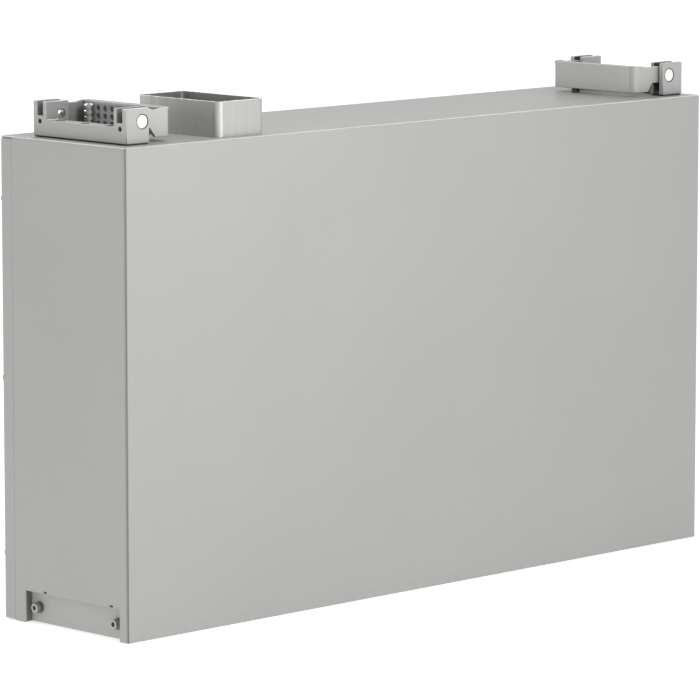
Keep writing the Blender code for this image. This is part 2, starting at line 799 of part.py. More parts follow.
def module_frame():
    """Plates that press each row of cells together, and the board with their busbars."""
    right = CELLS_LEFT + CELLS_IN_ROW * CELL_PITCH
    low_z = CELL_ROW_Z[0]
    high_z = CELL_ROW_Z[1] + CELL_W
    rear = CELLS_FRONT + CELL_BODY - 10
    for name, x in (("end_plate_left", CELLS_LEFT - END_PLATE), ("end_plate_right", right)):
        plate = box(name, (x, CELLS_FRONT, low_z), (x + END_PLATE, rear, high_z), "end_plate")
        soften(plate, 0.5, 1)
    front = CELLS_FRONT - TERMINAL_H - GAP
    board = box(
        "busbar_board",
        (CELLS_LEFT + 2, front - BUSBAR_BOARD, low_z + 8),
        (right - 2, front, high_z - 8),
        "board",
    )
    bm = bmesh.new()
    for row, z in enumerate(CELL_ROW_Z):
        for i in range(CELLS_IN_ROW // 2):
            for shift, end in enumerate(TERMINAL_Z):
                first = 2 * i + shift
                last = min(first + 2, CELLS_IN_ROW)
                low_x = CELLS_LEFT + first * CELL_PITCH + BUSBAR_INSET
                high_x = CELLS_LEFT + last * CELL_PITCH - BUSBAR_INSET
                low = (low_x, front - BUSBAR_OUT, z + end - BUSBAR_HALF)
                add_box(bm, low, (high_x, front - 1.0, z + end + BUSBAR_HALF))
    join(board, finish_mesh("busbars", bm, None))


def power_converter():
    """The converter's housing with upright fins on its rear."""
    low, high = CONVERTER
    body = box("power_converter", low, high, "heat_sink")
    soften(body, 1.5, 1)
    bm = bmesh.new()
    inset_x, inset_z = FIN_INSET
    for i in range(FIN_COUNT):
        x = low[0] + inset_x + FIN_PITCH * i
        fin_low = (x, high[1] - 2, low[2] + inset_z)
        add_box(bm, fin_low, (x + FIN_SHEET, FIN_TIP, high[2] - inset_z))
    join(body, finish_mesh("converter_fins", bm, None))


def management_board():
    """The battery management board with its relays and a heat spreader."""
    board = box("bms_board", *BMS_BOARD, "board")
    bm = bmesh.new()
    root = BMS_BOARD[1][1] - 1
    for z in BMS_RELAYS:
        add_box(bm, (-176, root, z), (-150, -26, z + 28))
    for left, right, low, high, out in BMS_PARTS:
        add_box(bm, (left, root, low), (right, out, high))
    for z in BMS_FINS:
        add_box(bm, (-178, root, z), (-108, -30, z + 8))
    join(board, finish_mesh("bms_parts", bm, None))


def main_fuse():
    """A round fuse link with a flat tab at each end."""
    x, y, z = FUSE
    bm = bmesh.new()
    add_cylinder(bm, FUSE, FUSE_R, 2 * FUSE_HALF, "Z", 24)
    fuse = finish_mesh("main_fuse", bm, "fuse_ceramic")
    soften(fuse, 1.5, 1)
    half_x, half_y, out = FUSE_TAB
    reach = FUSE_HALF + out
    tabs = box("fuse_tabs", (x - half_x, y - half_y, z - reach), (x + half_x, y + half_y, z + reach))
    join(fuse, tabs)


clear_scene()
PARTS = new_collection("wall_battery_unit")
CUTTERS = new_collection("cutters")
ROOT = bpy.data.objects.new("unit_origin", None)
PARTS.objects.link(ROOT)

front_cover()
rear_cover()
rear_screws()
chassis_base()
top_collar()
top_connector()
bottom_connector()
for word, sign in (("left", -1), ("right", 1)):
    side_panel("side_panel_" + word, sign)
    recess_plate("recess_plate_" + word, sign)
    stack_bolts(word, sign)
    bracket("bracket_" + word, sign)
    bracket_pad("bracket_pad_" + word, sign)
    handle("handle_" + word, sign)
    grip_insert("grip_insert_" + word, sign)
    hinge_pins(word, sign)
    handle_rest("handle_rest_" + word, sign)
cells()
module_frame()
power_converter()
management_board()
main_fuse()
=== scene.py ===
"""Looks of the wall battery unit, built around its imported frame.

Lengths are in metres, in the frame's own axes: +X to the casing's right, -Y out of its front, +Z up.
Small sizes are written in millimetres and turned into metres by MM.
"""

import json
import math

import bmesh
import bpy
from mathutils import Matrix, Vector


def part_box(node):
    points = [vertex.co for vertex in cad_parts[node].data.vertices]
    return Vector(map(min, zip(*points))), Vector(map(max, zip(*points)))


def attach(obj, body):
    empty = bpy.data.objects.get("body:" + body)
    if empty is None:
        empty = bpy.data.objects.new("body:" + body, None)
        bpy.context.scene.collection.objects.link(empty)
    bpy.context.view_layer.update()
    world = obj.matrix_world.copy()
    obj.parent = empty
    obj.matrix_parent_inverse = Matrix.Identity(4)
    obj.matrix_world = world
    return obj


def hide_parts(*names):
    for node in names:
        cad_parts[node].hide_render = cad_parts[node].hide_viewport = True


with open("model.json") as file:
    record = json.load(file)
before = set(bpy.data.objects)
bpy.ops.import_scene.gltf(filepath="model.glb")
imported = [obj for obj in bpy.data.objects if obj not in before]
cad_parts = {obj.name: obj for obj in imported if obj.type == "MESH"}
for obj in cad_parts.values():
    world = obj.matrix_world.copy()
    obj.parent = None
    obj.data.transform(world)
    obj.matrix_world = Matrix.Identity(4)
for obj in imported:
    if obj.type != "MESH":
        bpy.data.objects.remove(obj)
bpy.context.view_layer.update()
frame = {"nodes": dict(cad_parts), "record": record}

MM = 0.001
SIDES = (("left", -1), ("right", 1))
ENDS = (("front", -1), ("rear", 1))

# Camera
LENS = 246.3
SENSOR = 36.0
CAMERA_AZIMUTH = -44.638
CAMERA_ELEVATION = 8.073
CAMERA_DISTANCE = 4.049
CAMERA_TARGET = Vector((-0.018735, 0.0, 0.195996))

# Light
WORLD_LIGHT = 0.76
WORLD_SLOPE = 0.27
FLOOR_COLOUR = (0.68, 0.68, 0.676)
FLOOR_GLOW = 0.60
FLOOR_SIZE = 60.0

# Lamps that only glint on edges, as name, place, target, size and power
GLINTS = (
    ("glint_right", (1.75, -0.35, 2.1), (0, 0, 0.4), 0.9, 42.0),
    ("glint_front", (0.45, -2.4, 0.35), (0, 0, 0.35), 0.5, 7.0),
    ("glint_rear", (-0.35, 1.75, 2.1), (0, 0, 0.4), 0.9, 32.0),
)

# Colours
PAINT = (0.393, 0.395, 0.383)
PAINT_SHADE = (0.379, 0.381, 0.369)
BRACKET_PAINT = (0.425, 0.427, 0.413)
BRACKET_SHADE = (0.410, 0.412, 0.398)
HANDLE_PAINT = (0.465, 0.467, 0.452)
HANDLE_SHADE = (0.448, 0.450, 0.436)
SATIN_METAL = (0.54, 0.54, 0.525)
POST_GREY = (0.44, 0.44, 0.43)
ZINC = (0.42, 0.415, 0.40)
FLAKE_DARK = (0.46, 0.47, 0.48)
FLAKE_PALE = (0.58, 0.59, 0.60)
CHROME = (0.78, 0.78, 0.78)
GAP_SHADE_DARK = (0.05, 0.05, 0.052)
WHITE_CAP = (0.93, 0.93, 0.92)
GRIP_GREY = (0.34, 0.34, 0.338)
SLOT_SHADE_GREY = (0.16, 0.16, 0.158)
WASHER_GREY = (0.20, 0.20, 0.198)
RUBBER = (0.022, 0.022, 0.022)
BLACK_PLASTIC = (0.030, 0.030, 0.033)
BLUE_FILM = (0.030, 0.085, 0.26)
BLUE_FILM_PALE = (0.036, 0.10, 0.31)
ALUMINIUM = (0.70, 0.70, 0.70)
COPPER = (0.72, 0.40, 0.24)
GOLD = (0.83, 0.62, 0.28)
SOLDER_MASK = (0.015, 0.11, 0.045)
SOLDER_MASK_PALE = (0.02, 0.14, 0.055)
TRACK_GREEN = (0.05, 0.22, 0.10)
CHIP_BLACK = (0.03, 0.03, 0.035)
HEAT_SINK = (0.20, 0.20, 0.21)
CERAMIC = (0.78, 0.75, 0.68)
CERAMIC_SHADE = (0.70, 0.66, 0.58)

# Painted shade, as darker strips that the photo shows, in millimetres: on the front cover's upright corners,
# as half width, y and softness, and on the handles' upright bends, as low y, high y and depth
COVER_CORNER_SHADE = (338.9, -74.0, 0.6)
HANDLE_SHADE_BANDS = ((-54.6, -50.6, 0.26), (36.8, 42.0, 0.6))

# Sizes of the CAD that no node's box tells, in millimetres; x is that of the right side

# Two corners of the bead in each fold beside a side panel
REAR_FOLD = ((338.6, 60.9, 2.0), (339.85, 63.1, 392.4))
TOP_FOLD = ((338.6, -72.6, 392.2), (339.85, 60.9, 393.9))
# Painted shade: dark boxes behind the two corner reliefs over each recess: limits in x and z, middles in y
# and half width
RELIEF_X = (338.6, 338.95)
RELIEF_Z = (26.6, 28.2)
RELIEF_Y = (-55.0, 25.0)
RELIEF_HALF = 1.9
# A bracket's end block along y; the near end, step and far end of its slot; the slot's walls from the middle
BLOCK_LENGTH = 15.4
SLOT_X = (304.6, 321.2, 328.1)
SLOT_Y = (43.9, 50.8)
# A deck screw from the bracket's outer face, its seat over the bracket's foot, and the shifts along y
SCREW_INSET = 6.3
SCREW_SEAT = 9.0
SCREW_SHIFTS = (-30, 0, 30)
# A stacking bolt's head, and a pin's wide end from its cap to the arm that it carries
BOLT_HEAD = 4.4
CAP_LENGTH = {"front": 6.4, "rear": 5.6}
# The cells' front, the ends of the fuse's ceramic, and the boards' front and rear faces
CELL_FACE_Y = -46.6
FUSE_GLAZE_Z = (83.8, 156.2)
BOARD_FACES_Y = {"busbar_board": (-52.0, -50.2), "bms_board": (-42.2, -39.9)}

# Round pieces: points round a pin, points round a bolt's head and how deep its knurl is
PIN_STEPS = 56
KNURL_STEPS = 60
KNURL_DEPTH = 0.16


# Material helpers -------------------------------------------------------------------------------


def new_material(name, metallic=0.0, roughness=0.5):
    """A material with its node tree and its Principled shader."""
    material = bpy.data.materials.new(name)
    material.use_nodes = True
    tree = material.node_tree
    shader = tree.nodes["Principled BSDF"]
    shader.inputs["Metallic"].default_value = metallic
    shader.inputs["Roughness"].default_value = roughness
    return material, tree, shader


def object_space(tree, stretch=(1, 1, 1)):
    """Object coordinates, scaled along each axis."""
    coordinates = tree.nodes.new("ShaderNodeTexCoord")
    mapping = tree.nodes.new("ShaderNodeMapping")
    mapping.inputs["Scale"].default_value = stretch
    tree.links.new(coordinates.outputs["Object"], mapping.inputs["Vector"])
    return mapping.outputs["Vector"]


def object_axes(tree):
    """The object coordinates as three sockets: x, y and z."""
    split = tree.nodes.new("ShaderNodeSeparateXYZ")
    tree.links.new(object_space(tree), split.inputs[0])
    return split.outputs


def noise(tree, scale, detail=2.0, stretch=(1, 1, 1)):
    """Noise from 0 to 1, finer where the scale is larger."""
    texture = tree.nodes.new("ShaderNodeTexNoise")
    texture.inputs["Scale"].default_value = scale
    texture.inputs["Detail"].default_value = detail
    tree.links.new(object_space(tree, stretch), texture.inputs["Vector"])
    return texture.outputs["Fac"]


def spread(tree, value, low, high, start=0.3, end=0.7):
    """Value from start to end, mapped to low to high."""
    mapped = tree.nodes.new("ShaderNodeMapRange")
    for name, number in (("From Min", start), ("From Max", end), ("To Min", low), ("To Max", high)):
        mapped.inputs[name].default_value = number
    tree.links.new(value, mapped.inputs["Value"])
    return mapped.outputs["Result"]


def math_step(tree, operation, first, second=None):
    """A Math node on one or two sockets."""
    step = tree.nodes.new("ShaderNodeMath")
    step.operation = operation
    tree.links.new(first, step.inputs[0])
    if second is not None:
        tree.links.new(second, step.inputs[1])
    return step.outputs[0]


def dimmed(colour, share):
    """The colour at a share of its brightness, or brighter where the share is over 1."""
    return tuple(c * share for c in colour)


def blend_colours(tree, share, first, second):
    """First where share is 0, second where it is 1. Each is a colour or a socket."""
    mix = tree.nodes.new("ShaderNodeMix")
    mix.data_type = "RGBA"
    tree.links.new(share, mix.inputs[0])
    for socket, colour in ((mix.inputs[6], first), (mix.inputs[7], second)):
        if isinstance(colour, bpy.types.NodeSocket):
            tree.links.new(colour, socket)
        else:
            socket.default_value = (*colour, 1.0)
    return mix.outputs[2]


def raise_surface(tree, shader, heights):
    """Bumps of several (height socket, strength, depth in millimetres), one over the other."""
    normal = None
    for height, strength, depth in heights:
        bump = tree.nodes.new("ShaderNodeBump")
        bump.inputs["Strength"].default_value = strength
        bump.inputs["Distance"].default_value = depth * MM
        tree.links.new(height, bump.inputs["Height"])
        if normal:
            tree.links.new(normal, bump.inputs["Normal"])
        normal = bump.outputs["Normal"]
    tree.links.new(normal, shader.inputs["Normal"])


def hollow_shade_share(tree, distance, low, high):
    """1 deep in a corner or a hollow and 0 in the open; it places painted shade in hollows."""
    occlusion = tree.nodes.new("ShaderNodeAmbientOcclusion")
    occlusion.samples = 8
    occlusion.inputs["Distance"].default_value = distance
    return spread(tree, occlusion.outputs["AO"], 1.0, 0.0, low, high)


def edge(tree, value, limit, soft, low=0.0, high=1.0):
    """Low where a coordinate is under the limit in millimetres and high over it, softly."""
    return spread(tree, value, low, high, (limit - soft) * MM, (limit + soft) * MM)


def beyond(tree, axis, limit, soft=0.05):
    """1 where the object's coordinate is above the limit in millimetres, 0 below."""
    return edge(tree, object_axes(tree)[axis], limit, soft)


def short_of(tree, axis, limit, soft=0.05):
    """1 where the object's coordinate is below the limit in millimetres, 0 above."""
    return edge(tree, object_axes(tree)[axis], limit, soft, 1.0, 0.0)


def corner_shade_share(tree, half, front, soft):
    """1 on the two upright corners where |x| is over half and y is under front, in millimetres; it places
    painted shade.
    """
    x, y, _ = object_axes(tree)
    side = edge(tree, math_step(tree, "ABSOLUTE", x), half, soft)
    ahead = edge(tree, y, front, soft, 1.0, 0.0)
    return math_step(tree, "MULTIPLY", side, ahead)


def band_shade_share(tree, band_shade, soft=0.4):
    """The depth of each band of y inside it and 0 outside; a band is its low y, high y and depth. It places
    painted shade.
    """
    y = object_axes(tree)[1]
    total = None
    for low, high, depth in band_shade:
        rise = edge(tree, y, low, soft, 0.0, depth)
        fall = edge(tree, y, high, soft, 1.0, 0.0)
        band = math_step(tree, "MULTIPLY", rise, fall)
        total = band if total is None else math_step(tree, "ADD", total, band)
    return total


# Materials --------------------------------------------------------------------------------------


def paint(name, colour, shade, roughness, hollow_shade=0.0, corners=None, band_shade=None):
    """Satin powder coat: a fine peel, a faint mottle, and painted shade in hollows, on corners or in bands
    where asked.
    """
    material, tree, shader = new_material(name)
    mottle = spread(tree, noise(tree, 7.0, 3.0), 0.0, 1.0)
    coat = blend_colours(tree, mottle, shade, colour)
    speckle = spread(tree, noise(tree, 900.0, 1.0), 0.0, 0.18, 0.45, 0.75)
    coat = blend_colours(tree, speckle, coat, dimmed(colour, 0.86))
    # Painted shade, darker where ambient occlusion finds a hollow
    if hollow_shade:
        share = hollow_shade_share(tree, 0.03, 0.15, 0.75)
        dark = spread(tree, share, 0.0, hollow_shade, 0.0, 1.0)
        coat = blend_colours(tree, dark, coat, dimmed(colour, 0.35))
    # Painted shade on the upright corners
    if corners:
        coat = blend_colours(tree, corner_shade_share(tree, *corners), coat, dimmed(colour, 0.30))
    # Painted shade in bands of y
    if band_shade:
        coat = blend_colours(tree, band_shade_share(tree, band_shade), coat, dimmed(colour, 0.25))
    tree.links.new(coat, shader.inputs["Base Color"])
    rough = spread(tree, noise(tree, 60.0, 2.0), roughness - 0.015, roughness + 0.015)
    tree.links.new(rough, shader.inputs["Roughness"])
    peel = noise(tree, 420.0, 2.0)
    grain = noise(tree, 1900.0, 1.0)
    raise_surface(tree, shader, ((peel, 0.10, 0.06), (grain, 0.08, 0.03)))
    return material


def brushed(name, colour, roughness, stretch, metallic=1.0):
    """Metal with fine lines; stretch is small along the lines."""
    material, tree, shader = new_material(name, metallic)
    lines = noise(tree, 260.0, 4.0, stretch)
    cloud = spread(tree, noise(tree, 14.0, 3.0), 0.0, 0.5)
    tone = blend_colours(tree, cloud, colour, dimmed(colour, 0.88))
    tone = blend_colours(tree, spread(tree, lines, 0.0, 0.35), tone, dimmed(colour, 0.8))
    tree.links.new(tone, shader.inputs["Base Color"])
    rough = spread(tree, lines, roughness - 0.05, roughness + 0.08)
    tree.links.new(rough, shader.inputs["Roughness"])
    raise_surface(tree, shader, ((lines, 0.10, 0.03),))
    return material


def plated(name, colour, roughness):
    """Plated or polished steel with small stains."""
    material, tree, shader = new_material(name, 1.0)
    stain = spread(tree, noise(tree, 240.0, 4.0), 0.0, 0.6)
    tone = blend_colours(tree, stain, colour, dimmed(colour, 0.78))
    tree.links.new(tone, shader.inputs["Base Color"])
    rough = spread(tree, noise(tree, 520.0, 3.0), roughness - 0.05, roughness + 0.12)
    tree.links.new(rough, shader.inputs["Roughness"])
    raise_surface(tree, shader, ((noise(tree, 900.0, 2.0), 0.08, 0.02),))
    return material


def galvanised(name):
    """Zinc-coated sheet with its crystal pattern."""
    material, tree, shader = new_material(name, 0.85)
    crystals = tree.nodes.new("ShaderNodeTexVoronoi")
    crystals.inputs["Scale"].default_value = 120.0
    tree.links.new(object_space(tree), crystals.inputs["Vector"])
    flake = tree.nodes.new("ShaderNodeSeparateXYZ")
    tree.links.new(crystals.outputs["Color"], flake.inputs[0])
    share = spread(tree, flake.outputs[0], 0.0, 1.0, 0.0, 1.0)
    tree.links.new(blend_colours(tree, share, FLAKE_DARK, FLAKE_PALE), shader.inputs["Base Color"])
    tree.links.new(spread(tree, share, 0.32, 0.5, 0.0, 1.0), shader.inputs["Roughness"])
    raise_surface(tree, shader, ((flake.outputs[0], 0.04, 0.03),))
    return material


def moulded(name, colour, roughness, grain=1100.0):
    """Moulded plastic or rubber with a fine eroded grain."""
    material, tree, shader = new_material(name)
    cloud = spread(tree, noise(tree, 30.0, 3.0), 0.0, 1.0)
    tone = blend_colours(tree, cloud, colour, dimmed(colour, 1.25))
    tree.links.new(tone, shader.inputs["Base Color"])
    rough = spread(tree, noise(tree, 180.0, 2.0), roughness - 0.05, roughness + 0.07)
    tree.links.new(rough, shader.inputs["Roughness"])
    raise_surface(tree, shader, ((noise(tree, grain, 2.0), 0.16, 0.06),))
    return material


def white_cap(name):
    """White plastic of the pins' caps: smooth, with a faint unevenness."""
    material, tree, shader = new_material(name)
    shader.inputs["Specular IOR Level"].default_value = 0.6
    tint = spread(tree, noise(tree, 200.0, 2.0), 0.0, 1.0)
    tone = blend_colours(tree, tint, WHITE_CAP, dimmed(WHITE_CAP, 0.985))
    tree.links.new(tone, shader.inputs["Base Color"])
    tree.links.new(spread(tree, noise(tree, 600.0), 0.18, 0.26), shader.inputs["Roughness"])
    raise_surface(tree, shader, ((noise(tree, 1500.0), 0.04, 0.02),))
    return material


def cell_film(name):
    """Blue film with a faint wrinkle; the posts in front of it are bare metal."""
    material, tree, shader = new_material(name)
    post = short_of(tree, 1, CELL_FACE_Y)
    film = blend_colours(
        tree, spread(tree, noise(tree, 18.0, 4.0), 0.0, 1.0), BLUE_FILM, BLUE_FILM_PALE
    )
    tree.links.new(blend_colours(tree, post, film, ALUMINIUM), shader.inputs["Base Color"])
    tree.links.new(post, shader.inputs["Metallic"])
    tree.links.new(spread(tree, noise(tree, 55.0, 3.0), 0.22, 0.40), shader.inputs["Roughness"])
    raise_surface(tree, shader, ((noise(tree, 26.0, 5.0), 0.25, 0.4),))
    return material


def circuit_board(name, limits):
    """Solder mask with tracks between two limits along y; metal stands before them, plastic behind."""
    material, tree, shader = new_material(name)
    tracks = tree.nodes.new("ShaderNodeTexBrick")
    tracks.inputs["Scale"].default_value = 55.0
    tracks.inputs["Mortar Size"].default_value = 0.03
    tracks.inputs["Color1"].default_value = (*SOLDER_MASK, 1)
    tracks.inputs["Color2"].default_value = (*SOLDER_MASK_PALE, 1)
    tracks.inputs["Mortar"].default_value = (*TRACK_GREEN, 1)
    turn = tree.nodes.new("ShaderNodeMapping")
    turn.inputs["Rotation"].default_value = (math.radians(90), 0, 0)
    tree.links.new(object_space(tree), turn.inputs["Vector"])
    tree.links.new(turn.outputs["Vector"], tracks.inputs["Vector"])
    front, rear = limits
    metal = short_of(tree, 1, front)
    body = beyond(tree, 1, rear)
    tone = blend_colours(tree, metal, tracks.outputs["Color"], COPPER)
    tree.links.new(blend_colours(tree, body, tone, CHIP_BLACK), shader.inputs["Base Color"])
    tree.links.new(metal, shader.inputs["Metallic"])
    tree.links.new(spread(tree, noise(tree, 90.0, 3.0), 0.25, 0.5), shader.inputs["Roughness"])
    raise_surface(tree, shader, ((tracks.outputs["Fac"], 0.2, 0.05),))
    return material


def fuse_body(name):
    """Glazed ceramic between two plated tabs."""
    material, tree, shader = new_material(name)
    foot, top = FUSE_GLAZE_Z
    tabs = math_step(tree, "MAXIMUM", beyond(tree, 2, top), short_of(tree, 2, foot))
    glaze = blend_colours(tree, noise(tree, 70.0, 4.0), CERAMIC, CERAMIC_SHADE)
    tree.links.new(blend_colours(tree, tabs, glaze, ZINC), shader.inputs["Base Color"])
    tree.links.new(tabs, shader.inputs["Metallic"])
    tree.links.new(spread(tree, noise(tree, 300.0), 0.2, 0.36), shader.inputs["Roughness"])
    raise_surface(tree, shader, ((noise(tree, 160.0, 3.0), 0.06, 0.1),))
    return material


MATERIALS = {
    "shell_paint": paint("shell_paint", PAINT, PAINT_SHADE, 0.46),
    # The brackets and handles carry painted shade in their hollows, and the handles painted shade bands on
    # their bends
    "bracket_alloy": paint("bracket_alloy", BRACKET_PAINT, BRACKET_SHADE, 0.40, 0.9),
    "handle_alloy": paint("handle_alloy", HANDLE_PAINT, HANDLE_SHADE, 0.48, 0.9, band_shade=HANDLE_SHADE_BANDS),
    "collar_metal": brushed("collar_metal", dimmed(SATIN_METAL, 0.95), 0.47, (1, 1, 0.03)),
    "pin_metal": white_cap("pin_metal"),
    "bolt_steel": plated("bolt_steel", ZINC, 0.24),
    "washer_dark": plated("washer_dark", WASHER_GREY, 0.36),
    "rubber": moulded("rubber", RUBBER, 0.75),
    "grip_plastic": moulded("grip_plastic", GRIP_GREY, 0.38),
    "chassis_steel": galvanised("chassis_steel"),
    "connector_plastic": moulded("connector_plastic", BLACK_PLASTIC, 0.42),
    "cell_wrap": cell_film("cell_wrap"),
    "end_plate": brushed("end_plate", ALUMINIUM, 0.38, (1, 1, 0.04)),
    "heat_sink": brushed("heat_sink", HEAT_SINK, 0.45, (1, 1, 0.05), 0.8),
    "fuse_ceramic": fuse_body("fuse_ceramic"),
}

# Materials of single faces and pieces that differ from their slot's own
# Painted shade on the front cover's upright corners
SHADED_COVER_PAINT = paint("cover_paint_shaded", PAINT, PAINT_SHADE, 0.42, corners=COVER_CORNER_SHADE)
# Painted light: the recess plates wear the lighter bracket paint, against the shade in their recesses
LIGHTENED_RECESS_PAINT = paint("recess_paint_lightened", BRACKET_PAINT, BRACKET_SHADE, 0.5)
# Painted shade on the recess plates' rear end walls
RECESS_SHADE = paint("recess_shade", dimmed(PAINT, 0.38), dimmed(PAINT, 0.3), 0.55)
# Painted shade on the left rear block's inner face
BLOCK_SHADE_TONE = dimmed(BRACKET_PAINT, 0.73)
BLOCK_SHADE = paint("block_shade", BLOCK_SHADE_TONE, dimmed(BLOCK_SHADE_TONE, 0.97), 0.40, 0.9)
# Painted shade on the collar's rim and inner faces
COLLAR_SHADE = brushed("collar_shade", dimmed(SATIN_METAL, 0.66), 0.5, (1, 1, 0.03))
# Painted shade in the gap round each pin's head
PIN_GAP_SHADE = plated("pin_gap_shade_ring", GAP_SHADE_DARK, 0.36)
# Painted shade at the mouths of the slots
SLOT_MOUTH_SHADE = moulded("slot_mouth_shade_grey", SLOT_SHADE_GREY, 0.6)
PIN_CHROME = plated("pin_chrome", CHROME, 0.13)
POST_METAL = plated("post_metal", POST_GREY, 0.42)
CONTACT_METAL = plated("contact_metal", GOLD, 0.22)
BOARDS = {name: circuit_board(name, faces) for name, faces in BOARD_FACES_Y.items()}


# Mesh helpers -----------------------------------------------------------------------------------


def finished_mesh(bm, name):
    """A mesh of what the bmesh holds; the bmesh is freed."""
    mesh = bpy.data.meshes.new(name)
    bm.to_mesh(mesh)
    bm.free()
    return mesh


def box_matrix(centre, size):
    """The matrix that makes a box of a cube of size 1."""
    return Matrix.Translation(centre) @ Matrix.Diagonal((*size, 1))


def new_piece(name, mesh, body, slot, replaced=(), material=None):
    """A shown piece that rides on a body and may stand for CAD nodes, in its slot's material or its own."""
    piece = bpy.data.objects.new(name, mesh)
    bpy.context.scene.collection.objects.link(piece)
    if not mesh.materials:
        mesh.materials.append(material or MATERIALS[slot])
    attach(piece, body)
    if replaced:
        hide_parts(*replaced)
    return piece


def soften_normals(piece, angle=30.0):
    """Smooth shading up to an angle, weighted so that flat faces stay flat."""
    piece.data.shade_smooth()
    piece.data.set_sharp_from_angle(angle=math.radians(angle))
    weighted = piece.modifiers.new("normals", "WEIGHTED_NORMAL")
    weighted.keep_sharp = True


def round_edges(piece, width, angle=50.0):
    """Edges sharper than an angle, rounded over a width in millimetres."""
    edges = piece.modifiers.new("edges", "BEVEL")
    edges.width = width * MM
    edges.segments = 2
    edges.limit_method = "ANGLE"
    edges.angle_limit = math.radians(angle)
    edges.use_clamp_overlap = True


def refined(node, body, slot, width=0.0):
    """A connected copy of a CAD node with whole flat faces, edges rounded by a width and clean shading."""
    bm = bmesh.new()
    bm.from_mesh(frame["nodes"][node].data)
    bmesh.ops.remove_doubles(bm, verts=bm.verts, dist=2e-6)
    bmesh.ops.dissolve_limit(
        bm, angle_limit=math.radians(0.3), verts=bm.verts, edges=bm.edges, use_dissolve_boundaries=False
    )
    mesh = finished_mesh(bm, node + "_surface")
    piece = new_piece(node + "_finished", mesh, body, slot, (node,))
    if width:
        round_edges(piece, width)
    soften_normals(piece, 40.0)
    return piece


def axis_turn(direction):
    """The rotation that takes +Z to a direction."""
    return Vector((0, 0, 1)).rotation_difference(Vector(direction)).to_matrix().to_4x4()


def turned_mesh(name, profile, centre, direction, steps=48):
    """A closed mesh of (radius, height) points in millimetres turned about an axis."""
    bm = bmesh.new()
    rings = []
    for radius, height in profile:
        if radius == 0:
            rings.append([bm.verts.new((0, 0, height * MM))])
            continue
        ring = []
        for i in range(steps):
            angle = 2 * math.pi * i / steps
            spot = (radius * MM * math.cos(angle), radius * MM * math.sin(angle), height * MM)
            ring.append(bm.verts.new(spot))
        rings.append(ring)
    for upper, lower in zip(rings, rings[1:]):
        for i in range(steps):
            j = (i + 1) % steps
            corners = [upper[i % len(upper)], lower[i % len(lower)]]
            corners += [lower[j % len(lower)], upper[j % len(upper)]]
            bm.faces.new(list(dict.fromkeys(corners)))
    bmesh.ops.recalc_face_normals(bm, faces=bm.faces)
    bmesh.ops.transform(bm, matrix=Matrix.Translation(centre) @ axis_turn(direction), verts=bm.verts)
    return finished_mesh(bm, name)


def ring_mesh(name, profile, centre, direction, steps=48):
    """A turned mesh whose profile ends where it starts."""
    mesh = turned_mesh(name, profile, centre, direction, steps)
    bm = bmesh.new()
    bm.from_mesh(mesh)
    bmesh.ops.remove_doubles(bm, verts=bm.verts, dist=1e-7)
    bmesh.ops.recalc_face_normals(bm, faces=bm.faces)
    bm.to_mesh(mesh)
    bm.free()
    return mesh


def boxes_mesh(name, boxes, side):
    """One mesh of boxes, each given by two corners in millimetres; a side of -1 mirrors them in x."""
    bm = bmesh.new()
    for box in boxes:
        first, second = ((side * x, y, z) for x, y, z in box)
        low = Vector(min(pair) for pair in zip(first, second)) * MM
        high = Vector(max(pair) for pair in zip(first, second)) * MM
        bmesh.ops.create_cube(bm, size=1.0, matrix=box_matrix((low + high) / 2, high - low))
    return finished_mesh(bm, name)


def cutter(name, build):
    """An object for cut to take out of a mesh; build fills its bmesh."""
    bm = bmesh.new()
    build(bm)
    bmesh.ops.recalc_face_normals(bm, faces=bm.faces)
    return bpy.data.objects.new(name, finished_mesh(bm, name))


def cut(mesh, tool):
    """The mesh with the tool's shape taken out of it."""
    body = bpy.data.objects.new("cut_body", mesh)
    for obj in (body, tool):
        bpy.context.scene.collection.objects.link(obj)
    step = body.modifiers.new("cut", "BOOLEAN")
    step.object = tool
    step.operation = "DIFFERENCE"
    bpy.context.view_layer.update()
    done = bpy.data.meshes.new_from_object(body.evaluated_get(bpy.context.evaluated_depsgraph_get()))
    done.name = mesh.name
    for obj in (body, tool):
        bpy.data.objects.remove(obj, do_unlink=True)
    return done


def add_prism(bm, centre, radius, length, direction, sides):
    """A prism or cylinder centred on a point, along a direction; sizes in metres."""
    bmesh.ops.create_cone(
        bm,
        cap_ends=True,
        segments=sides,
        radius1=radius,
        radius2=radius,
        depth=length,
        matrix=Matrix.Translation(centre) @ axis_turn(direction),
    )


# Casing -----------------------------------------------------------------------------------------


def casing():
    """The covers, the side panels, what fills their folds, the recess plates and the collar."""
    for node in ("rear_cover", "side_panel_left", "side_panel_right"):
        refined(node, "casing", "shell_paint")
    # The front cover's paint has painted shade on its upright corners
    refined("front_cover", "casing", "shell_paint").data.materials[0] = SHADED_COVER_PAINT
    for word, side in SIDES:
        recess(word)
        seam_fillers(word, side)
    shade_collar(refined("top_collar", "casing", "collar_metal", 0.25))


def shade_collar(collar):
    """Painted shade: the collar's rim and the faces that look inwards are darker."""
    low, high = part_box("top_collar")
    centre = (low + high) / 2
    collar.data.materials.append(COLLAR_SHADE)
    for face in collar.data.polygons:
        inwards = (centre - face.center).xy.normalized().dot(face.normal.xy) > 0.1
        if inwards or (face.normal.z > 0.9 and face.center.z > high.z - 0.5 * MM):
            face.material_index = 1


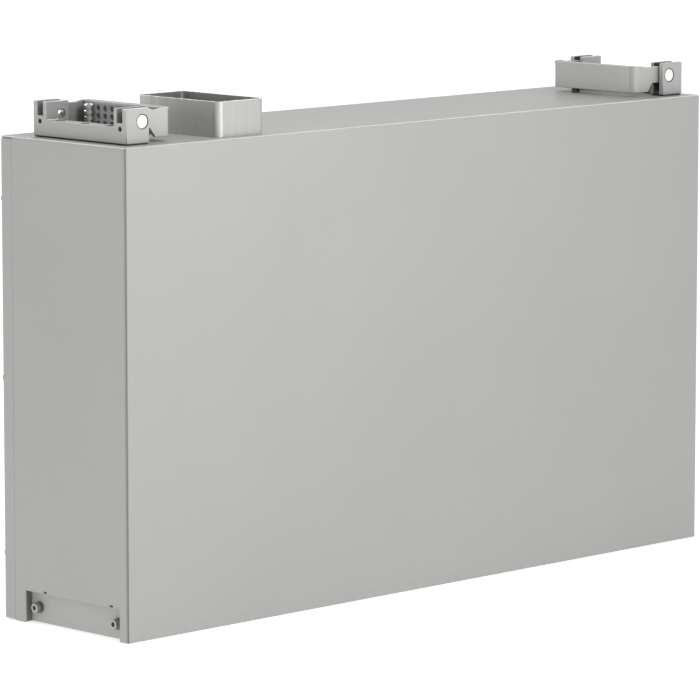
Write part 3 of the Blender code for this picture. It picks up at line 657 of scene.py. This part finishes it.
def seam_fillers(word, side):
    """Painted beads in the folds beside a side panel, and dark boxes of painted shade behind its two corner
    reliefs.
    """
    name = "seam_filler_" + word
    new_piece(name, boxes_mesh(name, (REAR_FOLD, TOP_FOLD), side), "casing", "shell_paint")
    # Painted shade: dark boxes behind the corner reliefs
    (inner, outer), (foot, top) = RELIEF_X, RELIEF_Z
    shade_boxes = [((inner, y - RELIEF_HALF, foot), (outer, y + RELIEF_HALF, top)) for y in RELIEF_Y]
    name = "relief_shade_" + word
    new_piece(name, boxes_mesh(name, shade_boxes, side), "casing", "rubber")


def recess(word):
    """A recess plate in a lighter paint, which is painted light, and with painted shade on its rear end
    wall.
    """
    plate = refined("recess_plate_" + word, "casing", "shell_paint", 0.25)
    # Painted light on the plate, painted shade on its rear end wall
    plate.data.materials[0] = LIGHTENED_RECESS_PAINT
    plate.data.materials.append(RECESS_SHADE)
    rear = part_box("recess_plate_" + word)[1].y
    for face in plate.data.polygons:
        if abs(face.normal.y) > 0.9 and rear - 3 * MM < face.center.y < rear - 0.5 * MM:
            face.material_index = 1


def rear_screws():
    """Domed screws with a cross recess along the rear cover's edges."""
    for word, _ in SIDES:
        for number in (1, 2, 3):
            node = f"rear_screw_{word}_{number}"
            low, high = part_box(node)
            radius = (high.x - low.x) / 2 / MM
            seat = Vector(((low.x + high.x) / 2, high.y - 2.0 * MM, (low.z + high.z) / 2))
            dome = [(0, 2.0), (1.2, 1.92), (2.4, 1.62), (3.4, 1.1), (radius - 0.2, 0.45), (radius, 0.05)]
            shank = [(radius, 0.0), (1.95, 0.0), (1.95, -12.0), (1.4, -12.6), (0, -12.6)]
            mesh = turned_mesh(node + "_turned", dome + shank, seat, (0, 1, 0), 40)
            for size in ((3.8, 2.4, 0.8), (0.8, 2.4, 3.8)):
                arm = box_matrix(seat + Vector((0, 1.9 * MM, 0)), Vector(size) * MM)
                groove = cutter("cross", lambda bm, arm=arm: bmesh.ops.create_cube(bm, size=1.0, matrix=arm))
                mesh = cut(mesh, groove)
            piece = new_piece(node + "_finished", mesh, "casing", "bolt_steel", (node,))
            soften_normals(piece)


# Stacking bolts ---------------------------------------------------------------------------------


def thread_profile(radius, top, bottom, pitch, depth):
    """The profile of a thread from its top down to its closed end."""
    points, height = [], top
    while height - pitch > bottom:
        points += [(radius, height), (radius - depth, height - pitch / 2)]
        height -= pitch
    return points + [(radius, height), (radius - depth, bottom), (0, bottom)]


def stack_bolts():
    """Socket-head bolts with a knurled head and a thread, on a chamfered washer."""
    for word, side in SIDES:
        for place, _ in ENDS:
            out = Vector((side, 0, 0))
            stack_bolt(f"stack_bolt_{word}_{place}", f"bolt_{word}_{place}", side, out)
            washer(f"stack_washer_{word}_{place}", f"washer_{word}_{place}", out)


def stack_bolt(node, body, side, out):
    """One bolt, turned about its axis, which points out of the casing's side."""
    low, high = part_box(node)
    radius = (high.z - low.z) / 2 / MM
    thread, head = 2.5, BOLT_HEAD
    face = high.x if side > 0 else low.x
    seat = Vector((face - side * head * MM, (low.y + high.y) / 2, (low.z + high.z) / 2))
    shank = (high.x - low.x) / MM - head
    profile = [(0, head), (radius - 0.7, head), (radius - 0.3, head - 0.15), (radius, head - 0.6)]
    profile += [(radius, 0.5), (radius - 0.15, 0.0), (thread, 0.0)]
    profile += thread_profile(thread, -1.2, -shank, 0.8, 0.35)
    mesh = turned_mesh(node + "_turned", profile, seat, out, KNURL_STEPS)
    knurl(mesh, seat, out, radius)
    hexagon = cutter("socket", lambda bm: add_prism(bm, seat + out * head * MM, 2.3 * MM, 5.0 * MM, out, 6))
    piece = new_piece(node + "_finished", cut(mesh, hexagon), body, "bolt_steel", (node,))
    soften_normals(piece)


def knurl(mesh, seat, out, radius):
    """Pulls in every second line of points round a bolt's head."""
    bm = bmesh.new()
    bm.from_mesh(mesh)
    inverse = (Matrix.Translation(seat) @ axis_turn(out)).inverted()
    for vertex in bm.verts:
        local = inverse @ vertex.co
        reach = math.hypot(local.x, local.y) / MM
        turn = round(math.atan2(local.y, local.x) / (2 * math.pi / KNURL_STEPS))
        if reach > radius - 0.05 and turn % 2:
            vertex.co = vertex.co - (vertex.co - seat - out * local.z) * (KNURL_DEPTH / radius)
    bm.to_mesh(mesh)
    bm.free()


def washer(node, body, out):
    """A dark washer with chamfered rims, on a bolt's axis."""
    low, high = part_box(node)
    radius = (high.z - low.z) / 2 / MM
    half = (high.x - low.x) / 2 / MM
    bore = 2.75
    profile = [
        (bore, half - 0.1),
        (bore + 0.15, half),
        (radius - 0.25, half),
        (radius, half - 0.25),
        (radius, -half + 0.15),
        (radius - 0.1, -half),
        (bore + 0.1, -half),
        (bore, -half + 0.1),
        (bore, half - 0.1),
    ]
    mesh = ring_mesh(node + "_turned", profile, (low + high) / 2, out)
    piece = new_piece(node + "_finished", mesh, body, "washer_dark", (node,))
    soften_normals(piece)


# Brackets and handles ---------------------------------------------------------------------------


def brackets():
    """Both brackets, with the screws in their decks and strips of painted shade in their slots."""
    for word, side in SIDES:
        node = "bracket_" + word
        bracket = refined(node, "casing", "bracket_alloy", 0.3)
        # Painted shade, on the left bracket only
        if side < 0:
            shade_rear_block(bracket, node)
        deck_screws(word, side)
        for place, end in ENDS:
            slot_shade_strips(word, side, place, end)


def shade_rear_block(bracket, node):
    """Painted shade: the face of the rear block that looks over the deck is darker."""
    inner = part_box(node)[1].y - BLOCK_LENGTH * MM
    bracket.data.materials.append(BLOCK_SHADE)
    for face in bracket.data.polygons:
        if face.normal.y < -0.9 and abs(face.center.y - inner) < 0.5 * MM:
            face.material_index = 1


def slot_shade_strips(word, side, place, end):
    """Painted shade in the slot for a handle's arm: thin strips, dark on its walls, floor and step, grey at
    its mouth.
    """
    low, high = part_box("bracket_" + word)
    middle = (low.y + high.y) / 2 / MM
    foot, rim = low.z / MM, high.z / MM - 0.5
    near, step, far = SLOT_X
    thick = 0.3
    dark, grey = [], []
    for y, depth in zip(SLOT_Y, (thick, -thick)):
        wall = (middle + end * y, middle + end * (y + depth))
        dark.append(((near, wall[0], foot + 3.2), (step, wall[1], rim)))
        grey.append(((step, wall[0], foot + 16.8), (far, wall[1], rim)))
    first, last = middle + end * (SLOT_Y[0] + thick), middle + end * (SLOT_Y[1] - thick)
    dark.append(((near, first, foot + 3.1), (step, last, foot + 3.4)))
    dark.append(((near - 0.7, first, foot + 0.1), (near, last, foot + 3.4)))
    dark.append(((step - 0.1, first, foot + 3.4), (step + 0.2, last, foot + 16.6)))
    name = f"slot_shade_strips_{word}_{place}"
    # Painted shade: dark strips in the slot, grey ones at its mouth
    new_piece(name, boxes_mesh(name, dark, side), "casing", "rubber")
    name = f"slot_mouth_shade_{word}_{place}"
    new_piece(name, boxes_mesh(name, grey, side), "casing", "rubber", material=SLOT_MOUTH_SHADE)


def deck_screws(word, side):
    """Screws with a hexagon socket in the three seats of a bracket's deck, each in a dark tube of painted
    shade.
    """
    low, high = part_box("bracket_" + word)
    outer = high.x if side > 0 else low.x
    x = outer - side * SCREW_INSET * MM
    y = (low.y + high.y) / 2
    bottom = low.z + SCREW_SEAT * MM
    up = (0, 0, 1)
    head = [(0, 2.2), (2.6, 2.2), (3.3, 1.9), (3.7, 1.2), (3.7, 0.05), (0, 0.05)]
    ring = [(4.35, 3.8), (4.35, 0.05), (3.85, 0.05), (3.85, 3.8), (4.35, 3.8)]
    for number, shift in enumerate(SCREW_SHIFTS, 1):
        seat = Vector((x, y + shift * MM, bottom))
        mesh = turned_mesh(f"deck_screw_{word}_{number}", head, seat, up, 32)
        top = seat + Vector((0, 0, 2.4 * MM))
        socket = cutter("socket", lambda bm, top=top: add_prism(bm, top, 1.7 * MM, 2.6 * MM, up, 6))
        piece = new_piece(f"deck_screw_{word}_{number}", cut(mesh, socket), "casing", "bolt_steel")
        soften_normals(piece)
        # Painted shade: a dark tube in the screw's seat
        name = f"deck_seat_shade_{word}_{number}"
        seat_shade = new_piece(name, ring_mesh(name, ring, seat, up, 32), "casing", "washer_dark")
        soften_normals(seat_shade)


def hinge_pins():
    """Two pins for each handle, one in each end block of its bracket."""
    for word, _ in SIDES:
        for place, end in ENDS:
            hinge_pin(word, place, end)


def hinge_pin(word, place, end):
    """A stepped pin with a domed thin end, a white cap let into its wide end and a dark ring of painted
    shade round it.
    """
    node = f"hinge_pin_{word}_{place}"
    low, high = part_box(node)
    out = Vector((0, end, 0))
    wide, thin = (high.z - low.z) / 2 / MM, 3.9
    length = (high.y - low.y) / MM
    step = length - CAP_LENGTH[place]
    near = low.y if end > 0 else high.y
    seat = Vector(((low.x + high.x) / 2, near, (low.z + high.z) / 2))
    profile = [(0, length - 0.25), (wide - 0.45, length - 0.25), (wide - 0.4, length)]
    profile += [(wide - 0.15, length), (wide, length - 0.2), (wide, step), (thin, step)]
    profile += [(thin, 1.6), (3.6, 0.9), (2.9, 0.4), (1.6, 0.1), (0, 0.0)]
    mesh = turned_mesh(node + "_turned", profile, seat, out, PIN_STEPS)
    soften_normals(new_piece(node + "_finished", mesh, "casing", "pin_metal", (node,), PIN_CHROME))

    name = f"pin_cap_{word}_{place}"
    rim = wide - 0.5
    cap = [(0, length), (rim - 0.3, length), (rim, length - 0.12), (rim, length - 0.6), (0, length - 0.6)]
    mesh = turned_mesh(name, cap, seat, out, PIN_STEPS)
    soften_normals(new_piece(name, mesh, "casing", "pin_metal"))

    # Painted shade: a dark ring in the gap round the pin's head
    name = f"pin_gap_shade_{word}_{place}"
    ring = [(6.15, 0.12), (6.15, 0.0), (5.7, 0.0), (5.7, 0.12), (6.15, 0.12)]
    mesh = ring_mesh(name, ring, seat + out * (length + 0.22) * MM, out, PIN_STEPS)
    soften_normals(new_piece(name, mesh, "casing", "washer_dark", material=PIN_GAP_SHADE))


def handles():
    """Both handles with their grips and the posts before them."""
    for word, side in SIDES:
        body = "handle_" + word
        refined(body, body, "handle_alloy", 0.3)
        grip_insert(word, side)
        for place, end in ENDS:
            grip_post(word, side, place, end)


def grip_post(word, side, place, end):
    """A ribbed metal post that stands before the grip near one of its ends."""
    low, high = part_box("grip_insert_" + word)
    before_grip, from_middle = 4.2, 35.2
    ribs, pitch, highest = 4, 4.7, 14.6
    x = (high.x if side > 0 else low.x) + side * before_grip * MM
    y = (low.y + high.y) / 2 + end * from_middle * MM
    seat = Vector((x, y, low.z + 0.3 * MM))
    profile = [(0, 20.2), (2.6, 20.2), (3.2, 19.6)]
    for rib in range(ribs):
        foot = highest - pitch * rib
        profile += [(3.9, foot + 4.3), (3.9, foot + 1.9), (3.1, foot + 1.2), (3.1, foot + 0.4)]
    profile += [(3.1, 0.0), (0, 0.0)]
    name = f"grip_post_{word}_{place}"
    mesh = turned_mesh(name, profile, seat, (0, 0, 1), 32)
    piece = new_piece(name, mesh, "handle_" + word, "grip_plastic", material=POST_METAL)
    soften_normals(piece)


def grip_insert(word, side):
    """The moulded insert: a block with rows of round pockets, cut back at both ends to clear the bends."""
    node = "grip_insert_" + word
    low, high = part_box(node)
    back, inner = (high.x, low.x) if side > 0 else (low.x, high.x)
    centre = (low.y + high.y) / 2
    pitch, radius, pocket = 8.2 * MM, 2.45 * MM, 4.0 * MM
    count = 10
    columns = [centre + (i - (count - 1) / 2) * pitch for i in range(count)]
    rows = [low.z + z * MM for z in (4.2, 10.4, 16.6)]
    bm = bmesh.new()
    bmesh.ops.create_cube(bm, size=1.0, matrix=box_matrix((low + high) / 2, high - low))
    mesh = finished_mesh(bm, node + "_moulded")

    def pockets(bm):
        for y in columns:
            for z in rows:
                add_prism(bm, Vector((back, y, z)), radius, 2 * pocket, (1, 0, 0), 20)

    def corner_room(bm):
        size = Vector((7.8, 10, 60)) * MM
        for end in (-1, 1):
            y = (high.y if end > 0 else low.y) - end * 1.8 * MM
            spot = Vector((inner, y + end * 5 * MM, (low.z + high.z) / 2))
            bmesh.ops.create_cube(bm, size=1.0, matrix=box_matrix(spot, size))

    mesh = cut(mesh, cutter("pockets", pockets))
    mesh = cut(mesh, cutter("corner_room", corner_room))
    piece = new_piece(node + "_moulded", mesh, "handle_" + word, "grip_plastic", (node,))
    round_edges(piece, 0.35, 45.0)
    soften_normals(piece)


# Connectors -------------------------------------------------------------------------------------


def connectors():
    """Both connectors, with two power contacts and eight signal contacts in the top one."""
    refined("top_connector", "casing", "connector_plastic", 0.25)
    refined("bottom_connector", "casing", "connector_plastic", 0.25)
    low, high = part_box("top_connector")
    centre = (low + high) / 2
    bottom = high.z - 8.5 * MM
    contacts = [(0, y, 4.0, high.z) for y in (-22.0, -9.0)]
    contacts += [(x, 5.0 + 6.5 * i, 1.3, high.z - 1.5 * MM) for x in (-3.5, 3.5) for i in range(4)]
    for number, (x, y, radius, top) in enumerate(contacts, 1):
        height = (top - bottom) / MM
        rim = radius + 0.12
        profile = [(0, height), (rim * 0.55, height), (rim * 0.9, height - 0.5)]
        profile += [(rim, height - 1.2), (rim, 0), (0, 0)]
        seat = Vector((centre.x + x * MM, centre.y + y * MM, bottom))
        name = f"contact_{number:02d}"
        mesh = turned_mesh(name, profile, seat, (0, 0, 1), 28)
        piece = new_piece(name, mesh, "casing", "connector_plastic", material=CONTACT_METAL)
        soften_normals(piece)


# Materials of the CAD nodes that stay ------------------------------------------------------------


def dress_nodes():
    """Every CAD node in its slot's material, but each circuit board in its own."""
    slots = {part["node"]: part["material_slot"] for part in frame["record"]["subparts"]}
    for name, node in frame["nodes"].items():
        node.data.materials.clear()
        node.data.materials.append(BOARDS[name] if name in BOARDS else MATERIALS[slots[name]])


# Floor, light and camera -------------------------------------------------------------------------


def floor():
    """A plain pale floor, just under the part."""
    bm = bmesh.new()
    bmesh.ops.create_grid(bm, x_segments=1, y_segments=1, size=FLOOR_SIZE / 2)
    mesh = finished_mesh(bm, "studio_floor")
    material, _, shader = new_material("studio_floor", 0.0, 0.9)
    shader.inputs["Base Color"].default_value = (*FLOOR_COLOUR, 1)
    shader.inputs["Specular IOR Level"].default_value = 0.1
    shader.inputs["Emission Color"].default_value = (1, 1, 1, 1)
    shader.inputs["Emission Strength"].default_value = FLOOR_GLOW
    mesh.materials.append(material)
    plane = bpy.data.objects.new("studio_floor", mesh)
    bpy.context.scene.collection.objects.link(plane)
    plane.location.z = -0.5 * MM


def area_light(name, place, target, size, power, shiny_only=False):
    """A round lamp aimed at a target; one that is shiny only lights no matt surface."""
    light = bpy.data.lights.new(name, "AREA")
    light.shape = "DISK"
    light.size = size
    light.energy = power
    lamp = bpy.data.objects.new(name, light)
    lamp.location = place
    aim = Vector(target) - Vector(place)
    lamp.rotation_euler = aim.to_track_quat("-Z", "Y").to_euler()
    lamp.visible_camera = False
    lamp.visible_diffuse = not shiny_only
    bpy.context.scene.collection.objects.link(lamp)


def lights():
    """A white room, a little darker in front, with one soft lamp and three that only glint on edges."""
    world = bpy.data.worlds.new("studio")
    world.use_nodes = True
    tree = world.node_tree
    sky = tree.nodes["Background"]
    sky.inputs["Color"].default_value = (1, 1, 1, 1)
    where = tree.nodes.new("ShaderNodeTexCoord")
    split = tree.nodes.new("ShaderNodeSeparateXYZ")
    tree.links.new(where.outputs["Generated"], split.inputs[0])
    level = spread(
        tree, split.outputs[1], WORLD_LIGHT - WORLD_SLOPE, WORLD_LIGHT + WORLD_SLOPE, -1.0, 1.0
    )
    tree.links.new(level, sky.inputs["Strength"])
    bpy.context.scene.world = world
    area_light("key", place=(-0.33, -0.9, 0.83), target=(-0.2, 0, 0.3), size=0.5, power=4.9)
    for name, place, target, size, power in GLINTS:
        area_light(name, place, target, size, power, shiny_only=True)


def camera():
    """The photo's view, from CAMERA_AZIMUTH round from the front."""
    data = bpy.data.cameras.new("camera")
    data.lens = LENS
    data.sensor_width = SENSOR
    data.clip_end = 200.0
    azimuth, elevation = math.radians(CAMERA_AZIMUTH), math.radians(CAMERA_ELEVATION)
    away = Vector((
        math.sin(azimuth) * math.cos(elevation),
        -math.cos(azimuth) * math.cos(elevation),
        math.sin(elevation),
    ))
    eye = bpy.data.objects.new("camera", data)
    eye.location = CAMERA_TARGET + away * CAMERA_DISTANCE
    eye.rotation_euler = (-away).to_track_quat("-Z", "Y").to_euler()
    bpy.context.scene.collection.objects.link(eye)
    bpy.context.scene.camera = eye


dress_nodes()
casing()
rear_screws()
stack_bolts()
brackets()
hinge_pins()
handles()
connectors()
floor()
lights()
camera()
bpy.context.scene.view_settings.view_transform = "Standard"
